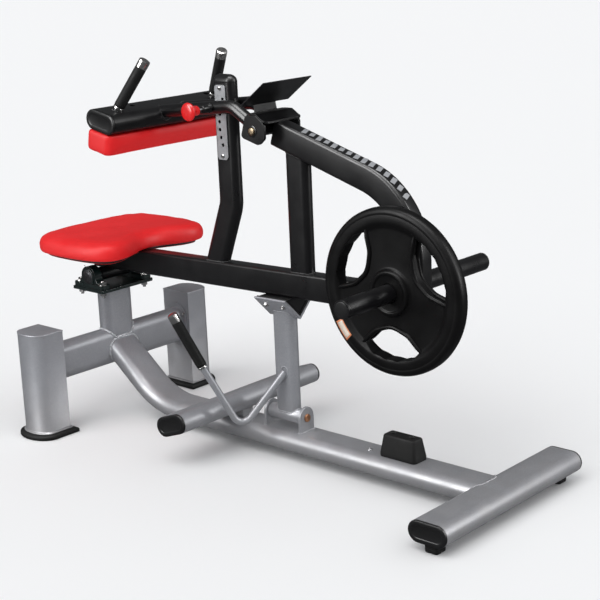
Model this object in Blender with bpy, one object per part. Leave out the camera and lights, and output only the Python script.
"""Plate-loaded seated calf raise machine, built in metres, +X forward, +Z up.

The lever turns about the pivot shaft under the seat.  X positions below are
measured from that shaft; PIVOT_X puts the shaft in the part's own frame.
"""
import math
import bmesh
import bpy
from mathutils import Matrix, Vector

# ---------------------------------------------------------------- dimensions
PIVOT_X = -0.70825          # pivot shaft, from mid length of the machine
GAP = 0.0003                # clearance between neighbouring pieces
PLAY = 0.001                # radial play of a loose fit
WALL = 0.003                # wall of every hollow tube
BASE_W, BASE_H = 0.120, 0.060   # flat-oval frame tube
POST_W, POST_T = 0.080, 0.040   # flat-oval lever posts and the support post

FRONT_PAD_H = 0.027         # rubber blocks under the front foot
FRONT_PAD_SIDE, FRONT_PAD_Y = 0.042, 0.280
BEAM_Z = FRONT_PAD_H + BASE_H / 2   # centre height of the floor beam
BEAM_RISE_X = 0.2195        # corner between the floor run and the rising run
BEAM_RISE_ANGLE = 38.0      # slope of the rising run, degrees
BEAM_BEND_R = 0.25
BEAM_TOP = BEAM_Z + BASE_H / 2
FOOT_X = 1.4934             # front foot tube
FOOT_HALF = 0.308
CAP_T = 0.008               # plastic end caps

POST_LEN_X = 0.120          # rear posts, D section
POST_FLAT_Y, POST_BULGE_Y = 0.070, 0.035
POST_INNER_Y = 0.267
POST_TOP = 0.3346
POST_FLARE = 0.006          # welded collar round the foot of a rear post
REAR_PAD_T, REAR_PAD_RIM = 0.016, 0.020
CROSS_Z = 0.218             # rear cross tube centre

PIVOT_Z = 0.4602            # lever pivot
BEARING_PLATE_X, BEARING_PLATE_Y, BEARING_PLATE_T = 0.146, 0.214, 0.010
BLOCK_H = 0.0365            # bearing centre above its foot
BLOCK_LEN, BLOCK_W, BLOCK_R = 0.140, 0.038, 0.0335
BLOCK_FOOT_T, BLOCK_NECK = 0.015, 0.042
BLOCK_Y = 0.086
SHAFT_D = 0.025
SLEEVE_D, SLEEVE_HALF = 0.044, 0.060

REST_X, REST_TILT = 0.559, 19.4         # foot rest tube, toes up
REST_HALF = 0.288
REST_LIFT = 0.0075          # lowest line of the tube above the floor beam
REST_BLOCK_X, REST_BLOCK_Y = 0.050, 0.044
REST_Z = BEAM_TOP + REST_LIFT + BASE_H / 2 + (BASE_W - BASE_H) / 2 * math.sin(math.radians(REST_TILT))

SUPPORT_X = 0.756           # swinging support under the lever
EAR_BACK, EAR_AHEAD = 0.071, 0.0645     # hinge ears behind and ahead of the support
EAR_T, EAR_W, EAR_R = 0.008, 0.060, 0.033
HINGE_Z = BEAM_TOP + 0.041
HINGE_D, HINGE_HEAD_D, BARREL_D = 0.016, 0.024, 0.046
SADDLE_LEN, SADDLE_LEG, SADDLE_T = 0.120, 0.092, 0.006
SADDLE_DROP = 0.067         # lever underside down to the outer apex of the V
LINER_T = 0.006
REST_PLAY = 0.0008          # wedge to liner
RELEASE_D, RELEASE_GRIP_D, RELEASE_BEND = 0.021, 0.031, 0.030
RELEASE_ANGLE = 32.0        # the bar turns back towards the seat
RELEASE_PTS = ((-0.001, 0.134), (0.1362, -0.0236), (0.2385, 0.176), (0.319, 0.345))

BUMPER_X0, BUMPER_X1, BUMPER_H = 1.115, 1.240, 0.063
BUMPER_W, BUMPER_TAPER = 0.060, 0.008

LEVER_W, LEVER_H = 0.050, 0.075         # lower lever beam
LEVER_SLOPE = 1.29                      # degrees, rising forward
LEVER_Z = PIVOT_Z + 0.0503              # centre height over the pivot
LEVER_REAR_X = -0.060
ARM_PIVOT_X, ARM_PIVOT_Z = 0.733, PIVOT_Z + 0.5078
UPPER_H = 0.075                         # curved beam depth
UPPER_REAR_X = ARM_PIVOT_X + 0.029
UPPER_SLOPE = 17.4
UPPER_REF_X, UPPER_REF_Z = 1.034, PIVOT_Z + 0.4143      # a point of the straight run
UPPER_END_X, UPPER_END_Z = 1.2345, PIVOT_Z + 0.0378
UPPER_BEND_R = 0.22
BRACE_X = 0.833
HORN_X, HORN_Z = UPPER_END_X - 0.002, PIVOT_Z + 0.1263
HORN_D, HORN_WALL, HORN_HALF = 0.050, 0.004, 0.304

PIN_ANGLE, HOLE_STEP = 17.6, 7.25       # locking pin at rest, and between holes
HOLES_ABOVE, HOLES_BELOW = 1, 5
PIN_D = 0.008
HOLE_D = PIN_D + 2 * PLAY
PADPOST_BACK = 0.1700                   # pad post behind the arm pivot
HOLE_R = PADPOST_BACK / math.cos(math.radians(PIN_ANGLE))
PADPOST_X = ARM_PIVOT_X - PADPOST_BACK
PADPOST_FOOT_X = PADPOST_X - 0.068
PADPOST_BEND_Z, PADPOST_BEND_R = LEVER_Z + 0.2245, 0.10
STRIP_X, STRIP_W, STRIP_T = PADPOST_X - 0.0015, 0.042, 0.004
STRIP_Z0, STRIP_Z1 = ARM_PIVOT_Z - 0.100, ARM_PIVOT_Z + 0.115
PADPOST_TOP = STRIP_Z1 + 0.007

ARM_D = 0.038
ARM_Y = POST_T / 2 + ARM_D / 2 + 0.0065
ARM_SLEEVE_D, ARM_BOLT_D, BOLT_HEAD_D = 0.034, 0.012, 0.022
ARM_RISE, ARM_BEND_AHEAD, ARM_BEND_R = 5.7, 0.0687, 0.06    # slope and bend of the arm tubes
CLEVIS_T = 0.008
CLEVIS_Y = ARM_Y + ARM_D / 2 + 0.0025 + CLEVIS_T / 2
CLEVIS_X, CLEVIS_TOP = ARM_PIVOT_X - 0.019, ARM_PIVOT_Z + 0.0435    # rear underside of the plate
CLEVIS_PLATE_T, CLEVIS_PLATE_HALF = 0.005, 0.0755
PLACARD_T, PLACARD_NARROW, PLACARD_WIDE = 0.003, 0.045, 0.098
BAR_X, BAR_Z = ARM_PIVOT_X - 0.4334, ARM_PIVOT_Z + 0.0226
BAR_TILT, BAR_HALF = -11.8, 0.247
PAD_LEN, PAD_T, PAD_HALF = 0.104, 0.064, 0.265
GRIP_X, GRIP_Y, GRIP_D = BAR_X + 0.0124, 0.195, 0.034
GRIP_RUN, GRIP_INWARD, GRIP_RISE = 0.089, 0.041, 0.142      # from its foot to its tip

SEAT_LIFT = 0.0076          # underside of the cushion over the lever beam at the pivot
SEAT_Z0 = LEVER_Z + LEVER_H / 2 + SEAT_LIFT
SEAT_T, BOARD_T, BOARD_INSET = 0.0467, 0.010, 0.018
SEAT_REAR, SEAT_FRONT, SEAT_HALF = -0.1377, 0.2123, 0.227
SEAT_NOTCH = 0.0243
BRACKET_X, BRACKET_OUT = 0.060, 0.150

PLATE_D, PLATE_Y = 0.450, 0.092         # weight plate and its centre plane
PLATE_RIM_T, PLATE_WEB_T, PLATE_HUB_T = 0.042, 0.026, 0.054
PLATE_HUB_R = 0.060
PLATE_RIM_W, PLATE_RIM_SLOPE = 0.040, 0.012
WINDOW_IN, WINDOW_OUT, WINDOW_HALF = 0.096, 0.183, 33.0

KNOB_D, KNOB_Y = 0.052, 0.160
HOUSING_D, HOUSING_LEN = 0.025, 0.036


# ------------------------------------------------------------------- helpers
def clear_scene():
    for o in list(bpy.data.objects):
        bpy.data.objects.remove(o, do_unlink=True)


def material(name, colour, metallic=0.0, rough=0.5):
    m = bpy.data.materials.new(name)
    m.use_nodes = True
    b = m.node_tree.nodes["Principled BSDF"]
    b.inputs["Base Color"].default_value = (*colour, 1.0)
    b.inputs["Metallic"].default_value = metallic
    b.inputs["Roughness"].default_value = rough
    return m


LOOK = {
    "silver": ((0.33, 0.34, 0.36), 0.7, 0.38),
    "black": ((0.012, 0.012, 0.014), 0.0, 0.25),
    "cast": ((0.03, 0.06, 0.06), 0.1, 0.5),
    "steel": ((0.55, 0.55, 0.55), 1.0, 0.3),
    "brass": ((0.55, 0.45, 0.25), 1.0, 0.35),
    "rubber": ((0.015, 0.015, 0.015), 0.0, 0.7),
    "plastic": ((0.02, 0.02, 0.02), 0.0, 0.4),
    "redplastic": ((0.65, 0.02, 0.03), 0.0, 0.35),
    "redvinyl": ((0.65, 0.02, 0.03), 0.0, 0.45),
    "plate": ((0.03, 0.03, 0.03), 0.0, 0.6),
    "strip": ((0.35, 0.35, 0.36), 0.9, 0.4),
}


def finish(name, bm, look, parent=None):
    """Make a named object of the solid in bm and hang it under its parent."""
    bmesh.ops.remove_doubles(bm, verts=bm.verts, dist=1e-6)
    bmesh.ops.recalc_face_normals(bm, faces=bm.faces)
    bmesh.ops.translate(bm, verts=bm.verts, vec=(PIVOT_X, 0, 0))
    me = bpy.data.meshes.new(name)
    bm.to_mesh(me)
    bm.free()
    ob = bpy.data.objects.new(name, me)
    bpy.context.scene.collection.objects.link(ob)
    colour, metal, rough = LOOK[look]
    me.materials.append(material("mat_" + name, colour, metal, rough))
    if parent is not None:
        put_under(ob, parent)
    return ob


def put_under(ob, parent):
    ob.parent = parent
    ob.matrix_parent_inverse = parent.matrix_basis.inverted()


def pivot_empty(name, at, parent):
    """An empty on a joint's axis, which carries the pieces that move with it."""
    e = bpy.data.objects.new(name, None)
    e.empty_display_size = 0.05
    e.location = (at[0] + PIVOT_X, at[1], at[2])
    bpy.context.scene.collection.objects.link(e)
    put_under(e, parent)
    return e


def oval(w, h, n=7):
    """Points of a flat oval: two half circles joined by straight sides."""
    r = h / 2.0
    pts = []
    for side in (1, -1):
        for i in range(n + 1):
            a = -math.pi / 2 + math.pi * i / n
            pts.append((side * (w / 2 - r + r * math.cos(a)), side * r * math.sin(a)))
    return pts


def box2d(w, h, r, n=3):
    """Points of a rectangle with rounded corners."""
    pts = []
    for cx, cy, a0 in ((1, -1, -90), (1, 1, 0), (-1, 1, 90), (-1, -1, 180)):
        for i in range(n + 1):
            a = math.radians(a0 + 90.0 * i / n)
            pts.append((cx * (w / 2 - r) + r * math.cos(a), cy * (h / 2 - r) + r * math.sin(a)))
    return pts


def ring2d(d, n=20):
    turns = [2 * math.pi * i / n for i in range(n)]
    return [(d / 2 * math.cos(a), d / 2 * math.sin(a)) for a in turns]


def add_rings(bm, rings, close_start=True, close_end=True):
    """Skin a row of rings that hold the same number of points."""
    vs = [[bm.verts.new(p) for p in r] for r in rings]
    n = len(vs[0])
    for a, b in zip(vs, vs[1:]):
        for i in range(n):
            j = (i + 1) % n
            bm.faces.new((a[i], a[j], b[j], b[i]))
    if close_start:
        bm.faces.new(list(reversed(vs[0])))
    if close_end:
        bm.faces.new(vs[-1])
    return vs


def add_tube(bm, outer, inner):
    """A hollow tube with both ends open."""
    o = add_rings(bm, outer, False, False)
    i = add_rings(bm, inner, False, False)
    n = len(o[0])
    for a, b in ((o[0], i[0]), (o[-1], i[-1])):
        for k in range(n):
            j = (k + 1) % n
            bm.faces.new((a[k], a[j], b[j], b[k]))


def path_xz(stations, section):
    """Rings for a section carried along (x, z, angle) stations; the section's
    first axis lies along Y and its second across the path."""
    rings = []
    for x, z, ang in stations:
        a = math.radians(ang)
        nx, nz = -math.sin(a), math.cos(a)
        rings.append([(x + v * nx, u, z + v * nz) for u, v in section])
    return rings


def line3(points, section, radius=0.0, steps=6):
    """Rings for a section carried along a 3-D polyline with rounded corners."""
    pts = [Vector(p) for p in points]
    track = [(pts[0], (pts[1] - pts[0]).normalized())]
    for a, b, c in zip(pts, pts[1:], pts[2:]):
        d0, d1 = (b - a).normalized(), (c - b).normalized()
        turn = d0.angle(d1)
        if turn < 1e-4:
            continue
        axis = d0.cross(d1).normalized()
        t = radius * math.tan(turn / 2)
        start = b - d0 * t
        centre = start + axis.cross(d0) * radius
        for k in range(steps + 1):
            rot = Matrix.Rotation(turn * k / steps, 3, axis)
            track.append((centre + rot @ (start - centre), rot @ d0))
    track.append((pts[-1], (pts[-1] - pts[-2]).normalized()))
    t0 = track[0][1]
    up = Vector((0, 0, 1)) if abs(t0.z) < 0.9 else Vector((0, 1, 0))
    u = t0.cross(up).normalized()
    v = u.cross(t0).normalized()
    rings, prev = [], t0
    for p, t in track:
        q = prev.rotation_difference(t)
        u, v, prev = q @ u, q @ v, t
        rings.append([tuple(p + u * a + v * b) for a, b in section])
    return rings


def pipe(points, d, wall, radius=0.0, n=16):
    bm = bmesh.new()
    add_tube(bm, line3(points, ring2d(d, n), radius), line3(points, ring2d(d - 2 * wall, n), radius))
    return bm


def turned(profile, at, n=24):
    """Rings that turn (radius, y) points about an axis along Y through (x, z)."""
    return [[(at[0] + x, y, at[1] + z) for x, z in ring2d(2 * r, n)] for r, y in profile]


def turned_solid(profile, at, n=24):
    bm = bmesh.new()
    add_rings(bm, turned(profile, at, n))
    return bm


def rod_y(d, at, y0, y1, n=24):
    return turned_solid([(d / 2, y0), (d / 2, y1)], at, n)


def bush_y(outer_d, inner_d, at, half, n=24):
    """An open tube about an axis along Y."""
    bm = bmesh.new()
    ends = (-half, half)
    add_tube(bm, turned([(outer_d / 2, y) for y in ends], at, n), turned([(inner_d / 2, y) for y in ends], at, n))
    return bm


def block(x0, x1, half_y, z0, z1):
    bm = bmesh.new()
    outline = ((-half_y, z0), (half_y, z0), (half_y, z1), (-half_y, z1))
    add_rings(bm, [[(x, y, z) for y, z in outline] for x in (x0, x1)])
    return bm


def extrude_y(outline, y0, y1):
    bm = bmesh.new()
    add_rings(bm, [[(x, y, z) for x, z in outline] for y in (y0, y1)])
    return bm


def extrude_x(outline, x0, x1, rise=0.0):
    """Extrude a (y, z) outline along X, climbing by rise for each metre."""
    bm = bmesh.new()
    add_rings(bm, [[(x, y, z + rise * (x - x0)) for y, z in outline] for x in (x0, x1)])
    return bm


def cut(ob, bm, tag):
    """Subtract the solid held in bm from ob."""
    bmesh.ops.recalc_face_normals(bm, faces=bm.faces)
    bmesh.ops.translate(bm, verts=bm.verts, vec=(PIVOT_X, 0, 0))
    me = bpy.data.meshes.new("cut_" + tag)
    bm.to_mesh(me)
    bm.free()
    c = bpy.data.objects.new("cut_" + tag, me)
    bpy.context.scene.collection.objects.link(c)
    c.hide_render = True
    c.display_type = "WIRE"
    m = ob.modifiers.new("cut_" + tag, "BOOLEAN")
    m.operation = "DIFFERENCE"
    m.solver = "EXACT"
    m.object = c
    return c


def tilted(section, x, z, tilt):
    """A section turned by tilt degrees and placed at (x, z)."""
    c, s = math.cos(math.radians(tilt)), math.sin(math.radians(tilt))
    return [(x + u * c - v * s, z + u * s + v * c) for u, v in section]


def mirror_name(side):
    """The operator faces +X, so -Y is the right hand."""
    return "right" if side < 0 else "left"


def oval_cutter(x, z, tilt):
    """The room that a frame tube lying along Y takes out of its neighbour."""
    return extrude_y(tilted(oval(BASE_W + 2 * GAP, BASE_H + 2 * GAP), x, z, tilt), -BASE_W, BASE_W)


# -------------------------------------------------------------- floor frame
def floor_beam():
    slope = math.tan(math.radians(BEAM_RISE_ANGLE))
    t = BEAM_BEND_R * math.tan(math.radians(BEAM_RISE_ANGLE / 2))
    x_start = BASE_H / 2 + GAP
    z_start = BEAM_Z + (BEAM_RISE_X - x_start) * slope
    stations = [(x_start, z_start, -BEAM_RISE_ANGLE)]
    cx, cz = BEAM_RISE_X + t, BEAM_Z + BEAM_BEND_R
    steps = 8
    for k in range(steps + 1):
        ang = BEAM_RISE_ANGLE * (k / steps - 1)
        r = math.radians(ang)
        stations.append((cx + BEAM_BEND_R * math.sin(r), cz - BEAM_BEND_R * math.cos(r), ang))
    stations.append((FOOT_X, BEAM_Z, 0.0))
    outer = path_xz(stations, oval(BASE_W, BASE_H))
    inner = path_xz(stations, oval(BASE_W - 2 * WALL, BASE_H - 2 * WALL))
    for rings in (outer, inner):      # the rear end is cut flush with the cross tube
        rings[0] = [(x_start, y, z + (x_start - x) * -slope) for x, y, z in rings[0]]
    bm = bmesh.new()
    add_tube(bm, outer, inner)
    ob = finish("base_beam", bm, "silver")
    cut(ob, oval_cutter(FOOT_X, BEAM_Z, 0), "foot_cope")
    return ob


def hollow_y(name, x, z, tilt, half, look, parent):
    """A flat-oval tube lying across the machine."""
    bm = bmesh.new()
    outer = tilted(oval(BASE_W, BASE_H), x, z, tilt)
    inner = tilted(oval(BASE_W - 2 * WALL, BASE_H - 2 * WALL), x, z, tilt)
    add_tube(bm, [[(a, y, b) for a, b in outer] for y in (-half, half)],
             [[(a, y, b) for a, b in inner] for y in (-half, half)])
    finish(name, bm, look, parent)


def end_cap(name, x, z, tilt, half, side, parent):
    """A moulded cap closing a flat-oval tube, its rim a little inside."""
    bm = bmesh.new()
    s = oval(BASE_W, BASE_H)
    k = [tilted([(u * f, v * f) for u, v in s], x, z, tilt) for f in (0.99, 1.0, 0.93)]
    y = [side * (half + GAP), side * (half + CAP_T * 0.6), side * (half + CAP_T)]
    add_rings(bm, [[(a, yy, b) for a, b in kk] for kk, yy in zip(k, y)])
    finish(name, bm, "plastic", parent)


def post_outline(grow, side):
    """A D: flat towards the middle of the machine, bulging outwards."""
    hx = POST_LEN_X / 2 + grow
    y0 = POST_INNER_Y - grow
    y1 = POST_INNER_Y + POST_FLAT_Y
    b = POST_BULGE_Y + grow
    pts = [(hx, y0)]
    n = 9
    for i in range(n + 1):
        a = math.pi * i / n
        pts.append((hx * math.cos(a), y1 + b * math.sin(a)))
    pts.append((-hx, y0))
    return [(x, side * y) for x, y in pts]


def rear_post(side, root):
    name = "rear_post_" + mirror_name(side)
    bm = bmesh.new()
    z0 = REAR_PAD_T + GAP
    collar = z0 + 0.004
    levels = ((POST_FLARE, z0), (POST_FLARE, collar), (0.0, collar), (0.0, POST_TOP - 0.0015), (-0.002, POST_TOP))
    outer = [[(x, y, z) for x, y in post_outline(g, side)] for g, z in levels]
    inner = [[(x, y, z) for x, y in post_outline(-WALL, side)] for z in (z0, POST_TOP - 0.004)]
    o = add_rings(bm, outer, False, True)
    i = add_rings(bm, inner, False, True)
    n = len(o[0])
    for k in range(n):
        j = (k + 1) % n
        bm.faces.new((o[0][k], o[0][j], i[0][j], i[0][k]))
    finish(name, bm, "silver", root)
    bm = bmesh.new()
    grow = REAR_PAD_RIM
    add_rings(bm, [[(x, y, z) for x, y in post_outline(g, side)] for g, z in
                   ((grow, 0.0), (grow, REAR_PAD_T * 0.6), (grow - 0.006, REAR_PAD_T))])
    finish("rear_foot_pad_" + mirror_name(side), bm, "rubber", root)


def pillow_block(side, root):
    z0 = PIVOT_Z - BLOCK_H + GAP
    zf = z0 + BLOCK_FOOT_T
    y0, y1 = sorted((side * (BLOCK_Y - BLOCK_W / 2), side * (BLOCK_Y + BLOCK_W / 2)))
    neck = zf + 0.004
    pts = [(BLOCK_LEN / 2, z0), (BLOCK_LEN / 2, zf), (BLOCK_NECK, neck)]
    for i in range(13):
        a = math.radians(-8 + 196 * i / 12)
        pts.append((BLOCK_R * math.cos(a), PIVOT_Z + BLOCK_R * math.sin(a)))
    pts += [(-BLOCK_NECK, neck), (-BLOCK_LEN / 2, zf), (-BLOCK_LEN / 2, z0)]
    ob = finish("pillow_block_" + mirror_name(side), extrude_y(pts, y0, y1), "cast", root)
    cut(ob, rod_y(SHAFT_D + 2 * PLAY, (0, PIVOT_Z), y0 - 0.01, y1 + 0.01, 20), "bore_" + mirror_name(side))


def front_foot(root):
    hollow_y("front_foot", FOOT_X, BEAM_Z, 0, FOOT_HALF, "silver", root)
    top = BEAM_Z - BASE_H / 2 - GAP
    for side in (-1, 1):
        end_cap("front_foot_cap_" + mirror_name(side), FOOT_X, BEAM_Z, 0, FOOT_HALF, side, root)
        square = box2d(FRONT_PAD_SIDE, FRONT_PAD_SIDE, 0.01)
        y = side * FRONT_PAD_Y
        bm = bmesh.new()
        add_rings(bm, [[(FOOT_X + u * f, y + v * f, z) for u, v in square]
                       for f, z in ((0.9, 0.0), (1.0, 0.004), (1.0, top))])
        finish("front_foot_pad_" + mirror_name(side), bm, "rubber", root)


def rear_frame(root):
    """Cross tube between the posts, and the upright that carries the bearings."""
    half = POST_INNER_Y - GAP
    outer, inner = oval(BASE_W, BASE_H), oval(BASE_W - 2 * WALL, BASE_H - 2 * WALL)
    bm = bmesh.new()
    add_tube(bm, *[[[(x, y, z) for x, z in tilted(sec, 0, CROSS_Z, 90)] for y in (-half, half)]
                   for sec in (outer, inner)])
    finish("rear_cross_tube", bm, "silver", root)
    for side in (-1, 1):
        rear_post(side, root)
    plate_top = PIVOT_Z - BLOCK_H
    levels = (CROSS_Z + (BASE_W - BASE_H) / 2, plate_top - BEARING_PLATE_T - GAP)
    bm = bmesh.new()
    add_tube(bm, *[[[(v, u, z) for u, v in sec] for z in levels] for sec in (outer, inner)])
    upright = finish("rear_upright", bm, "silver", root)
    cut(upright, oval_cutter(0, CROSS_Z, 90), "upright_cope")
    bm = bmesh.new()
    add_rings(bm, [[(x, y, z) for x, y in box2d(BEARING_PLATE_X, BEARING_PLATE_Y, 0.004, 2)]
                   for z in (plate_top - BEARING_PLATE_T, plate_top)])
    finish("bearing_plate", bm, "silver", root)
    for side in (-1, 1):
        pillow_block(side, root)


def foot_rest(root):
    hollow_y("foot_rest_tube", REST_X, REST_Z, REST_TILT, REST_HALF, "silver", root)
    for side in (-1, 1):
        end_cap("foot_rest_cap_" + mirror_name(side), REST_X, REST_Z, REST_TILT, REST_HALF, side, root)
    tilt = math.radians(REST_TILT)
    ends = (REST_X - REST_BLOCK_X / 2, REST_X + REST_BLOCK_X / 2)
    under = [(x, REST_Z + (x - REST_X) * math.tan(tilt) - (BASE_H / 2 + GAP) / math.cos(tilt)) for x in ends]
    outline = [(ends[0], BEAM_TOP + GAP), (ends[1], BEAM_TOP + GAP)] + under[::-1]
    finish("foot_rest_block", extrude_y(outline, -REST_BLOCK_Y / 2, REST_BLOCK_Y / 2), "silver", root)


def hinge_ears(root):
    """Two upright ears on the floor beam and the pin that the support swings on."""
    floor = BEAM_TOP + GAP
    for tag, x in (("rear", SUPPORT_X - EAR_BACK), ("front", SUPPORT_X + EAR_AHEAD)):
        pts = [(-EAR_W / 2, floor), (EAR_W / 2, floor), (EAR_W / 2, HINGE_Z)]
        for i in range(1, 9):
            a = math.radians(180.0 * i / 8)
            pts.append((EAR_W / 2 * math.cos(a), HINGE_Z + EAR_R * math.sin(a)))
        ob = finish("support_ear_" + tag, extrude_x(pts, x - EAR_T / 2, x + EAR_T / 2), "silver", root)
        bore = [(y, z + HINGE_Z) for y, z in ring2d(HINGE_D + 2 * GAP, 16)]
        cut(ob, extrude_x(bore, x - EAR_T, x + EAR_T), "ear_" + tag)
    play = 0.0005
    xa = SUPPORT_X - EAR_BACK - EAR_T / 2 - play
    xb = SUPPORT_X + EAR_AHEAD + EAR_T / 2 + play
    profile = ((xa - 0.0065, HINGE_HEAD_D - 0.004), (xa, HINGE_HEAD_D), (xa, HINGE_D), (xb, HINGE_D),
               (xb, HINGE_HEAD_D), (xb + 0.0045, HINGE_HEAD_D - 0.004))
    bm = bmesh.new()
    add_rings(bm, [[(x, y, z + HINGE_Z) for y, z in ring2d(d, 16)] for x, d in profile])
    finish("support_hinge_pin", bm, "brass", root)


def bumper(root):
    """Tapered rubber stop on the floor beam, under the lever's end."""
    middle, length = (BUMPER_X0 + BUMPER_X1) / 2, BUMPER_X1 - BUMPER_X0
    base = BEAM_TOP + GAP
    levels = ((0.0, 0.0), (0.0, 0.010), (BUMPER_TAPER, BUMPER_H - 0.004), (1.35 * BUMPER_TAPER, BUMPER_H))
    bm = bmesh.new()
    add_rings(bm, [[(middle + u, v, base + z) for u, v in box2d(length - 2 * t, BUMPER_W - 2 * t, 0.008)]
                   for t, z in levels])
    finish("bumper_block", bm, "rubber", root)


def build_frame():
    root = floor_beam()
    front_foot(root)
    rear_frame(root)
    foot_rest(root)
    hinge_ears(root)
    bumper(root)
    return root


# --------------------------------------------------------------------- lever
LEVER_TAN = math.tan(math.radians(LEVER_SLOPE))
UPPER_TAN = math.tan(math.radians(UPPER_SLOPE))
SADDLE_Z = LEVER_Z + LEVER_TAN * SUPPORT_X - LEVER_H / 2 - SADDLE_DROP


def lever_top(x):
    """Where a piece that stands on the lower beam begins."""
    return LEVER_Z + LEVER_TAN * x + LEVER_H / 2 / math.cos(math.radians(LEVER_SLOPE)) + GAP


def lever_under(x):
    return 2 * (LEVER_Z + LEVER_TAN * x) - lever_top(x)


def upper_mid(x):
    return UPPER_REF_Z + (UPPER_REF_X - x) * UPPER_TAN


def upper_face(x, side):
    """Top (side 1) or underside (side -1) of the straight run of the upper beam."""
    return upper_mid(x) + side * (UPPER_H / 2 / math.cos(math.radians(UPPER_SLOPE)) + GAP)


def upper_stations():
    """The curved beam: a straight run that bends down to stand on the lower beam's end."""
    turn = 90 - UPPER_SLOPE
    drop = UPPER_BEND_R * math.tan(math.radians(turn / 2))
    stations = [(UPPER_REAR_X, upper_mid(UPPER_REAR_X), -UPPER_SLOPE)]
    cx, cz = UPPER_END_X - UPPER_BEND_R, upper_mid(UPPER_END_X) - drop
    steps = 10
    for k in range(steps + 1):
        a = UPPER_SLOPE + turn * k / steps
        r = math.radians(a)
        stations.append((cx + UPPER_BEND_R * math.sin(r), cz + UPPER_BEND_R * math.cos(r), -a))
    stations.append((UPPER_END_X, UPPER_END_Z, -90))
    return stations


def pivot_pieces(lever):
    half = BLOCK_Y + BLOCK_W / 2 + 0.002
    r, chamfer = SHAFT_D / 2, 0.001
    profile = [(r - chamfer, -half), (r, chamfer - half), (r, half - chamfer), (r - chamfer, half)]
    finish("pivot_shaft", turned_solid(profile, (0, PIVOT_Z), 20), "steel", lever)
    sleeve = bush_y(SLEEVE_D, SHAFT_D + 2 * GAP, (0, PIVOT_Z), SLEEVE_HALF)
    finish("pivot_sleeve", sleeve, "black", lever)


def lever_beams(lever):
    x_end = UPPER_END_X - UPPER_H / 2 - GAP
    stations = [(x, LEVER_Z + LEVER_TAN * x, LEVER_SLOPE) for x in (LEVER_REAR_X, x_end)]
    outer = path_xz(stations, box2d(LEVER_W, LEVER_H, 0.006))
    inner = path_xz(stations, box2d(LEVER_W - 2 * WALL, LEVER_H - 2 * WALL, 0.003))
    for rings in (outer, inner):
        rings[-1] = [(x_end, y, z) for x, y, z in rings[-1]]
    bm = bmesh.new()
    add_tube(bm, outer, inner)
    beam = finish("lever_beam", bm, "black", lever)
    cut(beam, rod_y(SLEEVE_D + 2 * GAP, (0, PIVOT_Z), -0.1, 0.1), "sleeve_notch")
    bm = bmesh.new()
    add_tube(bm, path_xz(upper_stations(), box2d(LEVER_W, UPPER_H, 0.008)),
             path_xz(upper_stations(), box2d(LEVER_W - 2 * WALL, UPPER_H - 2 * WALL, 0.005)))
    curved = finish("curved_beam", bm, "black", lever)
    cut(curved, rod_y(HORN_D + 2 * GAP, (HORN_X, HORN_Z), -0.1, 0.1), "horn_bore")
    horn = bush_y(HORN_D, HORN_D - 2 * HORN_WALL, (HORN_X, HORN_Z), HORN_HALF, 28)
    finish("weight_horn", horn, "black", lever)


def brace_post(lever):
    bm = bmesh.new()
    rings = []
    for sec in (oval(POST_W, POST_T), oval(POST_W - 2 * WALL, POST_T - 2 * WALL)):
        low = [(BRACE_X + u, v, lever_top(BRACE_X + u)) for u, v in sec]
        high = [(BRACE_X + u, v, upper_face(BRACE_X + u, -1)) for u, v in sec]
        rings.append([low, high])
    add_tube(bm, *rings)
    finish("brace_post", bm, "black", lever)


def pad_post(lever):
    """Leans forward from the lower beam, then stands upright; its side carries the strip."""
    foot_z = lever_top(PADPOST_FOOT_X)
    lean = math.atan2(PADPOST_X - PADPOST_FOOT_X, PADPOST_BEND_Z - foot_z)
    cx = PADPOST_X - PADPOST_BEND_R
    cz = PADPOST_BEND_Z + PADPOST_BEND_R * math.tan(lean / 2)
    steps = 5
    tubes = []
    for sec in (oval(POST_W, POST_T), oval(POST_W - 2 * WALL, POST_T - 2 * WALL)):
        rings = [[(PADPOST_FOOT_X + u / math.cos(lean), v, lever_top(PADPOST_FOOT_X + u)) for u, v in sec]]
        for k in range(steps + 1):
            a = lean * (1 - k / steps)
            x, z = cx + PADPOST_BEND_R * math.cos(a), cz - PADPOST_BEND_R * math.sin(a)
            rings.append([(x + u * math.cos(a), v, z - u * math.sin(a)) for u, v in sec])
        rings.append([(PADPOST_X + u, v, PADPOST_TOP) for u, v in sec])
        tubes.append(rings)
    bm = bmesh.new()
    add_tube(bm, *tubes)
    post = finish("pad_post", bm, "black", lever)
    dome = ((1.0, 0.0), (1.0, 0.003), (0.93, 0.011), (0.72, 0.018), (0.40, 0.022))
    bm = bmesh.new()
    add_rings(bm, [[(PADPOST_X + u * f, v * f, PADPOST_TOP + GAP + z) for u, v in oval(POST_W, POST_T)]
                   for f, z in dome])
    finish("pad_post_cap", bm, "plastic", lever)
    return post


def hole_strip(lever, post):
    """Steel strip on the post's right side; its holes run on into the post."""
    face = -POST_T / 2 - GAP
    sec = box2d(STRIP_W, STRIP_Z1 - STRIP_Z0, 0.004, 2)
    outline = tilted(sec, STRIP_X, (STRIP_Z0 + STRIP_Z1) / 2, 0)
    strip = finish("hole_strip", extrude_y(outline, face - STRIP_T, face), "strip", lever)
    holes = bmesh.new()
    for k in range(-HOLES_BELOW, HOLES_ABOVE + 1):
        a = math.radians(PIN_ANGLE + HOLE_STEP * k)
        at = (ARM_PIVOT_X - HOLE_R * math.cos(a), ARM_PIVOT_Z + HOLE_R * math.sin(a))
        ends = (-POST_T, -POST_T / 2 + 2 * WALL)
        add_rings(holes, turned([(HOLE_D / 2, y) for y in ends], at, 12))
    cut(post, holes.copy(), "post_holes")
    cut(strip, holes, "strip_holes")


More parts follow.
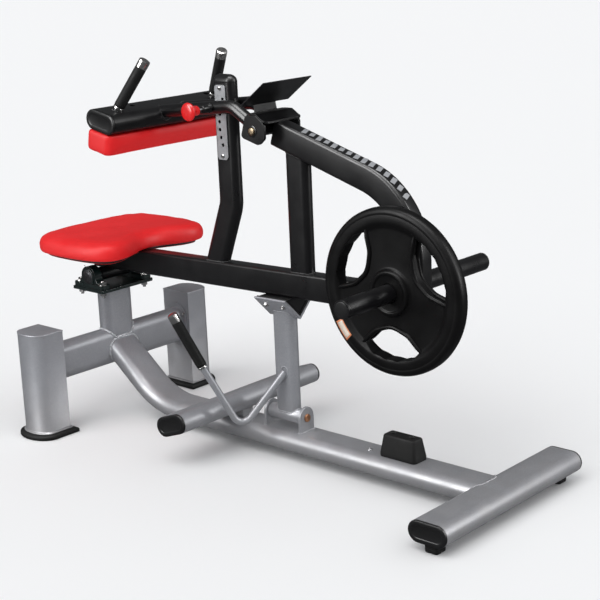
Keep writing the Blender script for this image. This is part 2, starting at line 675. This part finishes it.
def clevis(lever):
    """Bent plate on the upper beam's rear end, with an ear each side of the arm pivot."""
    under = CLEVIS_TOP - GAP - ARM_PIVOT_Z
    ear = ((-0.026, under), (-0.045, -0.015), (-0.036, -0.022), (0.017, -0.037), (0.027, -0.034),
           (0.045, -0.019), (0.0455, 0.017), (0.038, 0.028), (0.014, under))
    outline = [(ARM_PIVOT_X + u, ARM_PIVOT_Z + v) for u, v in ear]
    bolt_at = (ARM_PIVOT_X, ARM_PIVOT_Z)
    for side in (-1, 1):
        y0, y1 = sorted((side * (CLEVIS_Y - CLEVIS_T / 2), side * (CLEVIS_Y + CLEVIS_T / 2)))
        ob = finish("clevis_ear_" + mirror_name(side), extrude_y(outline, y0, y1), "black", lever)
        cut(ob, rod_y(ARM_BOLT_D + PLAY, bolt_at, -0.1, 0.1), "bolt_bore_" + mirror_name(side))
    bend, land, end = ARM_PIVOT_X + 0.015, ARM_PIVOT_X + 0.039, ARM_PIVOT_X + 0.053
    t = CLEVIS_PLATE_T
    outline = [(CLEVIS_X, CLEVIS_TOP), (bend, CLEVIS_TOP), (land, upper_face(land, 1)), (end, upper_face(end, 1)),
               (end, upper_face(end, 1) + t), (land + 0.001, upper_face(land, 1) + t),
               (bend + 0.001, CLEVIS_TOP + t), (CLEVIS_X, CLEVIS_TOP + t)]
    finish("clevis_plate", extrude_y(outline, -CLEVIS_PLATE_HALF, CLEVIS_PLATE_HALF), "black", lever)
    y = CLEVIS_Y + CLEVIS_T / 2 + 0.0005
    shank, head, low = ARM_BOLT_D / 2, BOLT_HEAD_D / 2, BOLT_HEAD_D / 2 - 0.002
    profile = [(low, -y - 0.006), (head, -y - 0.004), (head, -y), (shank, -y),
               (shank, y), (head, y), (head, y + 0.004), (low, y + 0.006)]
    finish("arm_pivot_bolt", turned_solid(profile, bolt_at, 16), "brass", lever)


def placard(lever):
    """A T of sheet: a narrow foot on the clevis plate and a wide, leaning face."""
    base = Vector((CLEVIS_X + 0.001, CLEVIS_TOP + CLEVIS_PLATE_T + GAP))
    bend = base + Vector((-0.0045, 0.0212))
    tip = bend + Vector((0.0935, 0.069))
    d0, d1 = (bend - base).normalized(), (tip - bend).normalized()
    n0, n1 = Vector((d0.y, -d0.x)), Vector((d1.y, -d1.x))
    mitre = (n0 + n1) / (1 + n0.dot(n1))
    narrow, wide = PLACARD_NARROW, PLACARD_WIDE
    rows = {"base": (base, Vector((1.0, 0.0)), (-narrow, narrow)),
            "bend": (bend, mitre, (-wide, -narrow, narrow, wide)),
            "tip": (tip, n1, (-wide, wide))}
    bm = bmesh.new()
    at = {}
    for row, (p, normal, ys) in rows.items():
        for i, y in enumerate(ys):
            for layer in (0, 1):
                q = p + normal * PLACARD_T * layer
                at[row, i, layer] = bm.verts.new((q.x, y, q.y))
    foot = [("base", 0), ("base", 1), ("bend", 2), ("bend", 1)]
    face = [("bend", 0), ("bend", 1), ("bend", 2), ("bend", 3), ("tip", 1), ("tip", 0)]
    for layer in (0, 1):
        for part in (foot, face):
            bm.faces.new([at[row, i, layer] for row, i in part])
    edge = [("base", 0), ("base", 1), ("bend", 2), ("bend", 3), ("tip", 1), ("tip", 0), ("bend", 0), ("bend", 1)]
    for (ra, ia), (rb, ib) in zip(edge, edge[1:] + edge[:1]):
        bm.faces.new((at[ra, ia, 0], at[rb, ib, 0], at[rb, ib, 1], at[ra, ia, 1]))
    finish("placard", bm, "black", lever)


def rest_wedge(lever):
    """The V under the lower beam that sits in the support's saddle."""
    x0, x1 = SUPPORT_X - SADDLE_LEN / 2 + 0.004, SUPPORT_X + SADDLE_LEN / 2 - 0.004
    apex = SADDLE_Z + (SADDLE_T + LINER_T + REST_PLAY) * math.sqrt(2) + LEVER_TAN * (x0 - SUPPORT_X)
    top = lever_under(x0)
    blunt, wide = 0.004, top - apex
    outline = [(blunt, apex + blunt), (wide, top), (-wide, top), (-blunt, apex + blunt)]
    finish("rest_wedge", extrude_x(outline, x0, x1, LEVER_TAN), "black", lever)


def build_lever(root):
    lever = pivot_empty("lever_axis", (0, 0, PIVOT_Z), root)
    pivot_pieces(lever)
    lever_beams(lever)
    brace_post(lever)
    hole_strip(lever, pad_post(lever))
    clevis(lever)
    placard(lever)
    rest_wedge(lever)
    return lever


# ---------------------------------------------------------------------- seat
def seat_outline(inset, n=48):
    """Outline with a straight rear edge, rounded corners and a shallow notch in front,
    drawn by a closed B-spline and moved inwards by inset."""
    r, f, w, c = SEAT_REAR, SEAT_FRONT, SEAT_HALF, SEAT_NOTCH
    half = [(r, 0.0), (r, 0.45 * w), (r + 0.0096, 0.80 * w), (r + 0.0646, 1.04 * w), ((r + f) / 2, 1.06 * w),
            (f - 0.055, 1.05 * w), (f + 0.0325, 0.90 * w), (f + 0.0265, 0.50 * w),
            (f - c * 0.80, 0.18 * w), (f - c, 0.0)]
    poles = half + [(a, -b) for a, b in half[-2:0:-1]]
    m = len(poles)
    edge = []
    for i in range(n):
        k = int(m * i / n)
        u = m * i / n - k
        weights = ((1 - u) ** 3 / 6, (3 * u ** 3 - 6 * u ** 2 + 4) / 6, (-3 * u ** 3 + 3 * u ** 2 + 3 * u + 1) / 6,
                   u ** 3 / 6)
        near = [Vector(poles[(k + j - 1) % m]) for j in range(4)]
        edge.append(sum((p * wt for p, wt in zip(near, weights)), Vector((0, 0))))
    moved = []
    for i, p in enumerate(edge):
        d = (edge[(i + 1) % n] - edge[i - 1]).normalized()
        moved.append((p.x + d.y * inset, p.y - d.x * inset))
    return moved


def build_seat(lever):
    z0, z1 = SEAT_Z0 - BOARD_T + GAP, SEAT_Z0 - GAP
    bm = bmesh.new()
    add_rings(bm, [[(x, y, z) for x, y in seat_outline(BOARD_INSET)] for z in (z0, z1)])
    board = finish("seat_board", bm, "plastic", lever)
    cut(board, block(-0.30, 0.30, LEVER_W / 2 + PLAY, z0 - 0.02, lever_top(0.205)), "board_slot")
    bm = bmesh.new()
    levels = ((0.006, 0.0), (0.0, 0.008), (0.0, 0.020), (0.003, 0.030), (0.012, 0.041), (0.030, SEAT_T))
    add_rings(bm, [[(x, y, SEAT_Z0 + z) for x, y in seat_outline(inset)] for inset, z in levels])
    finish("seat_cushion", bm, "redvinyl", lever)
    top = z0 - GAP
    inner, outer = LEVER_W / 2 + PLAY, BRACKET_OUT
    low = top - 0.0456
    profile = [(inner, low), (0.100, low + 0.012), (outer, top - 0.004), (outer, top), (inner, top)]
    for side in (-1, 1):
        outline = [(side * y, z) for y, z in profile]
        bm = extrude_x(outline, -BRACKET_X / 2, BRACKET_X / 2)
        finish("seat_bracket_" + mirror_name(side), bm, "black", lever)


# ------------------------------------------------------------------- pad arm
PIN_X = ARM_PIVOT_X - PADPOST_BACK
PIN_Z = ARM_PIVOT_Z + PADPOST_BACK * math.tan(math.radians(PIN_ANGLE))


def arm_tubes(arm):
    """Two tubes either side of the pad post, from the pivot sleeve to the crossbar."""
    half = CLEVIS_Y - CLEVIS_T / 2 - 0.0035
    pivot = (ARM_PIVOT_X, ARM_PIVOT_Z)
    finish("arm_sleeve", bush_y(ARM_SLEEVE_D, ARM_BOLT_D + PLAY, pivot, half), "black", arm)
    rise = math.tan(math.radians(ARM_RISE))
    x0, x1 = BAR_X + BASE_H / 2, PIN_X + ARM_BEND_AHEAD
    for side in (-1, 1):
        y = side * ARM_Y
        points = [(x0, y, PIN_Z - (PIN_X - x0) * rise), (x1, y, PIN_Z + (x1 - PIN_X) * rise),
                  (ARM_PIVOT_X, y, ARM_PIVOT_Z)]
        tag = mirror_name(side)
        ob = finish("arm_tube_" + tag, pipe(points, ARM_D, WALL, ARM_BEND_R, 18), "black", arm)
        cut(ob, oval_cutter(BAR_X, BAR_Z, BAR_TILT), "bar_cope_" + tag)
        cut(ob, rod_y(ARM_SLEEVE_D + 2 * GAP, pivot, -0.1, 0.1), "sleeve_cope_" + tag)
        if side < 0:
            cut(ob, rod_y(PIN_D + 7 * PLAY, (PIN_X, PIN_Z), -ARM_Y - ARM_D, -POST_T / 2, 12), "pin_bore")


def thigh_pad(arm):
    """Upholstered block screwed to the crossbar's underside."""
    t = math.radians(BAR_TILT)
    along, up = Vector((math.cos(t), math.sin(t))), Vector((-math.sin(t), math.cos(t)))
    middle = Vector((BAR_X, BAR_Z)) - up * (BASE_H / 2 + GAP + PAD_T / 2)
    top = PAD_T / 2
    levels = ((-0.010, top), (-0.003, top - 0.003), (0.0, top - 0.010), (0.0, 0.012 - top),
              (-0.004, 0.004 - top), (-0.012, -top))
    rings = []
    for grow, w in levels:
        ring = []
        for u, v in box2d(PAD_LEN + 2 * grow, 2 * (PAD_HALF + grow), 0.022 + grow, 4):
            p = middle + along * u + up * w
            ring.append((p.x, v, p.y))
        rings.append(ring)
    bm = bmesh.new()
    add_rings(bm, rings)
    finish("thigh_pad_cushion", bm, "redvinyl", arm)


def hand_grip(side, arm):
    """Upright grip on the crossbar's top face, leaning forward and in."""
    t = math.radians(BAR_TILT)
    up = Vector((-math.sin(t), 0, math.cos(t)))
    foot_z = BAR_Z + (GRIP_X - BAR_X) * math.tan(t) + (BASE_H / 2 + GAP) / math.cos(t)
    foot = Vector((GRIP_X, side * GRIP_Y, foot_z))
    tip = foot + Vector((GRIP_RUN, -side * GRIP_INWARD, GRIP_RISE))
    d = (tip - foot).normalized()
    full = line3([foot, tip], ring2d(GRIP_D, 18))
    small = line3([foot, tip], ring2d(GRIP_D - 0.004, 18))
    base = []
    for q in full[0]:                    # its foot is cut to lie on the crossbar
        q = Vector(q)
        base.append(q + d * ((foot - q).dot(up) / d.dot(up)))
    bm = bmesh.new()
    add_rings(bm, [base, [Vector(q) - d * 0.002 for q in full[1]], small[1]])
    finish("hand_grip_" + mirror_name(side), bm, "rubber", arm)


def pull_pin(arm):
    """Plunger housing on the right arm tube, and the knob whose nose enters the strip."""
    face = -ARM_Y - ARM_D / 2
    at = (PIN_X, PIN_Z)
    r, bore, end = HOUSING_D / 2, PIN_D / 2 + 2 * PLAY, face - HOUSING_LEN
    bm = bmesh.new()
    add_tube(bm, turned([(r, face - GAP), (r, end + 0.002), (r - 0.0015, end)], at, 18),
             turned([(bore, face - GAP), (bore, end + 0.002), (bore, end)], at, 18))
    finish("pin_housing", bm, "black", arm)
    pin = pivot_empty("pin_axis", (PIN_X, -KNOB_Y, PIN_Z), arm)
    nose = -POST_T / 2 - GAP - STRIP_T - 0.0005
    neck = end - 0.0135
    r = KNOB_D / 2
    profile = [(PIN_D / 2 - 0.001, nose), (PIN_D / 2, nose - 0.002), (PIN_D / 2, neck), (0.014, neck),
               (0.014, neck - 0.012), (0.019, 0.016 - KNOB_Y), (r - 0.002, 0.012 - KNOB_Y), (r, 0.008 - KNOB_Y),
               (r - 0.003, 0.003 - KNOB_Y), (r * 0.6, -KNOB_Y)]
    finish("pull_knob", turned_solid(profile, at, 20), "redplastic", pin)


def build_arm(lever):
    arm = pivot_empty("arm_axis", (ARM_PIVOT_X, 0, ARM_PIVOT_Z), lever)
    arm_tubes(arm)
    hollow_y("pad_crossbar", BAR_X, BAR_Z, BAR_TILT, BAR_HALF, "black", arm)
    for side in (-1, 1):
        end_cap("pad_crossbar_cap_" + mirror_name(side), BAR_X, BAR_Z, BAR_TILT, BAR_HALF, side, arm)
        hand_grip(side, arm)
    thigh_pad(arm)
    pull_pin(arm)


# ------------------------------------------------------------------- support
def support_post(sup):
    """Barrel on the hinge pin and the post that stands on it."""
    x0, x1 = SUPPORT_X - EAR_BACK + EAR_T / 2 + PLAY, SUPPORT_X + EAR_AHEAD - EAR_T / 2 - PLAY
    bm = bmesh.new()
    add_tube(bm, *[[[(x, y, z + HINGE_Z) for y, z in ring2d(d, 24)] for x in (x0, x1)]
                   for d in (BARREL_D, HINGE_D + PLAY)])
    finish("support_barrel", bm, "silver", sup)
    bm = bmesh.new()
    add_tube(bm, *[[[(SUPPORT_X + u, v, z) for u, v in sec] for z in (HINGE_Z, SADDLE_Z + 0.03)]
                   for sec in (oval(POST_W, POST_T), oval(POST_W - 2 * WALL, POST_T - 2 * WALL))])
    post = finish("support_post", bm, "silver", sup)
    room = [(y, z + HINGE_Z) for y, z in ring2d(BARREL_D + 2 * GAP, 24)]
    cut(post, extrude_x(room, x0 - 0.02, x1 + 0.02), "barrel_cope")
    size, low = 0.12, SADDLE_Z - GAP * 1.5
    square = [(0, low), (size, low + size), (0, low + 2 * size), (-size, low + size)]
    room = extrude_x(square, SUPPORT_X - size, SUPPORT_X + size, LEVER_TAN)
    bmesh.ops.translate(room, verts=room.verts, vec=(0, 0, -LEVER_TAN * size))
    cut(post, room, "saddle_cope")


def vee(name, apex, leg, thick, half, look, sup):
    """An angle standing on its outer apex, its flanges at 45 degrees."""
    q, a, e = thick * math.sqrt(2), leg / math.sqrt(2), thick / math.sqrt(2)
    z = apex - LEVER_TAN * half
    outline = [(0, z), (a, z + a), (a - e, z + a + e), (0, z + q), (e - a, z + a + e), (-a, z + a)]
    finish(name, extrude_x(outline, SUPPORT_X - half, SUPPORT_X + half, LEVER_TAN), look, sup)


def release_bar(sup):
    """Round bar welded to the post: it dips, then rises beside the seat to its grip."""
    r = math.radians(RELEASE_ANGLE)
    weld_x, weld_y = SUPPORT_X + 0.006, -POST_T / 2 - GAP
    p = [Vector((weld_x - out * math.sin(r), weld_y - out * math.cos(r), HINGE_Z + up)) for out, up in RELEASE_PTS]
    rings = line3(p[:3], ring2d(RELEASE_D, 14), RELEASE_BEND)
    d = p[1] - p[0]
    flat = []
    for q in rings[0]:                   # the welded end is cut flat against the post
        k = (weld_y - q[1]) / d.y
        flat.append((q[0] + d.x * k, weld_y, q[2] + d.z * k))
    bm = bmesh.new()
    add_rings(bm, [flat] + rings[1:])
    finish("release_bar", bm, "silver", sup)
    along = (p[3] - p[2]).normalized()
    ends = [p[2] + along * GAP, p[3]]
    full, small = line3(ends, ring2d(RELEASE_GRIP_D, 18)), line3(ends, ring2d(RELEASE_GRIP_D - 0.004, 18))
    bm = bmesh.new()
    add_rings(bm, [full[0], [Vector(q) - along * 0.002 for q in full[1]], small[1]])
    finish("release_grip", bm, "rubber", sup)


def build_support(root):
    sup = pivot_empty("support_axis", (SUPPORT_X, 0, HINGE_Z), root)
    support_post(sup)
    vee("support_saddle", SADDLE_Z, SADDLE_LEG, SADDLE_T, SADDLE_LEN / 2, "silver", sup)
    liner_z = SADDLE_Z + (SADDLE_T + GAP) * math.sqrt(2)
    vee("saddle_liner", liner_z, SADDLE_LEG - SADDLE_T - 0.006, LINER_T, SADDLE_LEN / 2 - 0.002, "rubber", sup)
    release_bar(sup)


# -------------------------------------------------------------- weight plate
def build_plate(lever):
    """A round plate with a raised rim, a hub and three windows, loose on the horn."""
    ax = pivot_empty("plate_axis", (HORN_X, -PLATE_Y, HORN_Z), lever)
    rim, rim_t, web, hub = PLATE_D / 2, PLATE_RIM_T / 2, PLATE_WEB_T / 2, PLATE_HUB_T / 2
    bore = HORN_D / 2 + PLAY
    inside = rim - PLATE_RIM_W
    profile = [(bore, hub), (PLATE_HUB_R - 0.004, hub), (PLATE_HUB_R, hub - 0.006), (PLATE_HUB_R + 0.006, web),
               (inside - PLATE_RIM_SLOPE, web), (inside, rim_t), (rim - 0.012, rim_t), (rim - 0.003, rim_t - 0.006),
               (rim, rim_t - 0.015)]
    whole = [(r, -PLATE_Y - y) for r, y in profile] + [(r, -PLATE_Y + y) for r, y in reversed(profile)]
    bm = bmesh.new()
    loops = turned(whole, (HORN_X, HORN_Z), 44)
    add_rings(bm, loops + loops[:1], False, False)
    plate = finish("weight_plate", bm, "plate", ax)
    windows = bmesh.new()
    for middle in (30, 150, 270):
        edge = []
        for k in range(-4, 5):
            edge.append((WINDOW_OUT - 0.014 * abs(k / 4) ** 6, middle + WINDOW_HALF * k / 4))
        for k in range(3, -4, -1):
            edge.append((WINDOW_IN + 0.030 * (k / 3) ** 2, middle + (WINDOW_HALF - 6) * k / 3))
        outline = [(HORN_X + r * math.cos(math.radians(a)), HORN_Z + r * math.sin(math.radians(a))) for r, a in edge]
        add_rings(windows, [[(x, y, z) for x, z in outline] for y in (-PLATE_Y - 0.05, -PLATE_Y + 0.05)])
    cut(plate, windows, "plate_windows")


clear_scene()
ROOT = build_frame()
LEVER = build_lever(ROOT)
build_seat(LEVER)
build_arm(LEVER)
build_support(ROOT)
build_plate(LEVER)
